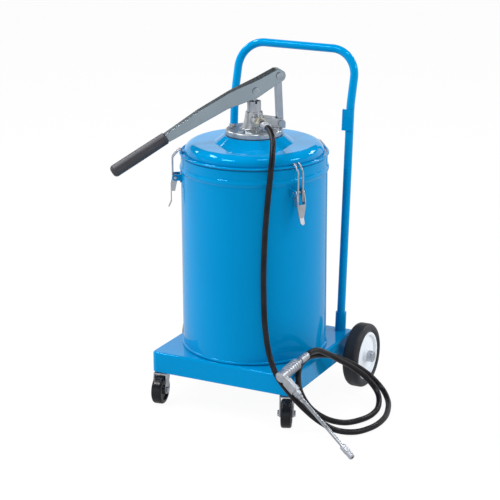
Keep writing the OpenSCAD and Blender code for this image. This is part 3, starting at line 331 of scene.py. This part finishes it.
socket_low, socket_high = (Vector(c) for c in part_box("handle_sockets"))
socket_y = socket_low.y + SOCKET_RADIUS
socket_x = socket_high.x - SOCKET_RADIUS
for side_name, side in (("left", -1), ("right", 1)):
    foot = Vector((side * socket_x, socket_y, socket_low.z))
    weld("weld_socket_" + side_name, ring(foot, SOCKET_RADIUS, WELD_RING_STEPS), "base", loop=True)

# The hanger plate leans with the right post, which stands over its socket
hanger_low, hanger_high = (Vector(c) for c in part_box("hanger_plate"))
for side_name, side in (("inner", -1), ("outer", 1)):
    weld_x = socket_x + side * HANGER_WELD_SPREAD
    weld_foot = Vector((weld_x, hanger_high.y + HANGER_WELD_LOW_Y, hanger_low.z + HANGER_WELD_INSET))
    weld_head = Vector((weld_x, hanger_high.y + HANGER_WELD_HIGH_Y, hanger_high.z - HANGER_WELD_INSET))
    weld("weld_hanger_" + side_name, straight(weld_foot, weld_head), "base")


# Studio
FLOOR_HALF = 9.0
FLOOR_SHARE = 0.95
FLOOR_MIRROR = 0.6
FLOOR_COLOUR = (0.9, 0.9, 0.9, 1)
FLOOR_ROUGHNESS = 0.7
WHITE = (1, 1, 1, 1)
BACKDROP_RADIUS = 3.7
BACKDROP_SEGMENTS = 96
BACKDROP_TOP = 1.8
BACKDROP_LIGHT = 0.92
CEILING_LIGHT = 0.03
ROOM_LIGHT = 0.66
LAMP_DISTANCE = 2.6
LAMP_SIZE = (0.9, 0.3)
WASH_SIZE = (1.6, 1.6)
MIDDLE = Vector((0.0, 0.0, 0.5))


def seen_directly(tree):
    """One for camera, mirror and see-through rays and zero for others, and one for mirror rays alone."""
    path = tree.nodes.new("ShaderNodeLightPath")
    first = tree.nodes.new("ShaderNodeMath")
    first.operation = "MAXIMUM"
    tree.links.new(path.outputs["Is Camera Ray"], first.inputs[0])
    tree.links.new(path.outputs["Is Glossy Ray"], first.inputs[1])
    both = tree.nodes.new("ShaderNodeMath")
    both.operation = "MAXIMUM"
    tree.links.new(first.outputs[0], both.inputs[0])
    tree.links.new(path.outputs["Is Transmission Ray"], both.inputs[1])
    return both.outputs[0], path.outputs["Is Glossy Ray"]


def make_floor():
    bm = bmesh.new()
    bmesh.ops.create_grid(bm, x_segments=1, y_segments=1, size=FLOOR_HALF)
    mesh = bpy.data.meshes.new("floor")
    bm.to_mesh(mesh)
    bm.free()
    obj = bpy.data.objects.new("floor", mesh)
    scene.collection.objects.link(obj)
    mat, tree, shader = new_material("floor_white")
    shader.inputs["Base Color"].default_value = FLOOR_COLOUR
    shader.inputs["Roughness"].default_value = FLOOR_ROUGHNESS
    glow = tree.nodes.new("ShaderNodeEmission")
    glow.inputs["Color"].default_value = WHITE
    seen, glossy = seen_directly(tree)
    tree.links.new(ramp(tree, glossy, 1.0, FLOOR_MIRROR, 0.0, 1.0), glow.inputs["Strength"])
    mix = tree.nodes.new("ShaderNodeMixShader")
    tree.links.new(ramp(tree, seen, 0.0, FLOOR_SHARE, 0.0, 1.0), mix.inputs["Fac"])
    tree.links.new(shader.outputs["BSDF"], mix.inputs[1])
    tree.links.new(glow.outputs["Emission"], mix.inputs[2])
    tree.links.new(mix.outputs["Shader"], tree.nodes["Material Output"].inputs["Surface"])
    mat.cycles.emission_sampling = "NONE"
    mesh.materials.append(mat)


def make_backdrop():
    """Low white wall all round, which only mirrors see."""
    bm = bmesh.new()
    bmesh.ops.create_cone(bm, segments=BACKDROP_SEGMENTS, radius1=BACKDROP_RADIUS, radius2=BACKDROP_RADIUS,
                          depth=BACKDROP_TOP)
    bmesh.ops.translate(bm, verts=bm.verts, vec=(0, 0, BACKDROP_TOP / 2))
    mesh = bpy.data.meshes.new("backdrop")
    bm.to_mesh(mesh)
    bm.free()
    obj = bpy.data.objects.new("backdrop", mesh)
    scene.collection.objects.link(obj)
    mat, tree, _ = new_material("backdrop_white")
    glow = tree.nodes.new("ShaderNodeEmission")
    glow.inputs["Color"].default_value = WHITE
    glow.inputs["Strength"].default_value = BACKDROP_LIGHT
    tree.links.new(glow.outputs["Emission"], tree.nodes["Material Output"].inputs["Surface"])
    mat.cycles.emission_sampling = "NONE"
    mesh.materials.append(mat)
    obj.visible_camera = False
    obj.visible_diffuse = False
    obj.visible_transmission = False
    obj.visible_shadow = False


def make_world():
    """Even light on things, a white background, and a dark ceiling in mirrors."""
    world = bpy.data.worlds.new("studio")
    scene.world = world
    world.use_nodes = True
    world.cycles.sampling_method = "NONE"
    tree = world.node_tree
    light = tree.nodes["Background"]
    light.inputs["Color"].default_value = WHITE
    light.inputs["Strength"].default_value = ROOM_LIGHT
    white = tree.nodes.new("ShaderNodeBackground")
    white.inputs["Color"].default_value = WHITE
    dark = tree.nodes.new("ShaderNodeBackground")
    dark.inputs["Color"].default_value = WHITE
    dark.inputs["Strength"].default_value = CEILING_LIGHT
    seen, glossy = seen_directly(tree)
    view = tree.nodes.new("ShaderNodeMixShader")
    tree.links.new(glossy, view.inputs["Fac"])
    tree.links.new(white.outputs["Background"], view.inputs[1])
    tree.links.new(dark.outputs["Background"], view.inputs[2])
    mix = tree.nodes.new("ShaderNodeMixShader")
    tree.links.new(seen, mix.inputs["Fac"])
    tree.links.new(light.outputs["Background"], mix.inputs[1])
    tree.links.new(view.outputs["Shader"], mix.inputs[2])
    tree.links.new(mix.outputs["Shader"], tree.nodes["World Output"].inputs["Surface"])


def lamp(name, azimuth, elevation, power, size, mirrored):
    """Lamp box in the given direction, turned to the object."""
    az, el = math.radians(azimuth), math.radians(elevation)
    way = Vector((math.cos(el) * math.cos(az), math.cos(el) * math.sin(az), math.sin(el)))
    data = bpy.data.lights.new(name, "AREA")
    data.shape = "RECTANGLE"
    data.size, data.size_y = size
    data.energy = power
    obj = bpy.data.objects.new(name, data)
    turn = way.to_track_quat("Z", "Y").to_matrix().to_4x4()
    obj.matrix_world = Matrix.Translation(MIDDLE + LAMP_DISTANCE * way) @ turn
    obj.visible_glossy = mirrored
    scene.collection.objects.link(obj)


# Direction and power of the ceiling lamps, and of the two soft washes from the sides
LAMPS = [
    ("left_back", 170, 34, 10), ("left", 190, 52, 26), ("front", 238, 51, 30),
    ("top", 339, 76, 16), ("right", 11, 34, 16), ("right_back", 65, 31, 10),
]
WASHES = [("wash_left", 205, 18, 26), ("wash_right", 20, 18, 20)]
make_floor()
make_backdrop()
make_world()
for lamp_name, lamp_az, lamp_el, lamp_power in LAMPS:
    lamp(lamp_name, lamp_az, lamp_el, lamp_power, LAMP_SIZE, True)
for lamp_name, lamp_az, lamp_el, lamp_power in WASHES:
    lamp(lamp_name, lamp_az, lamp_el, lamp_power, WASH_SIZE, False)
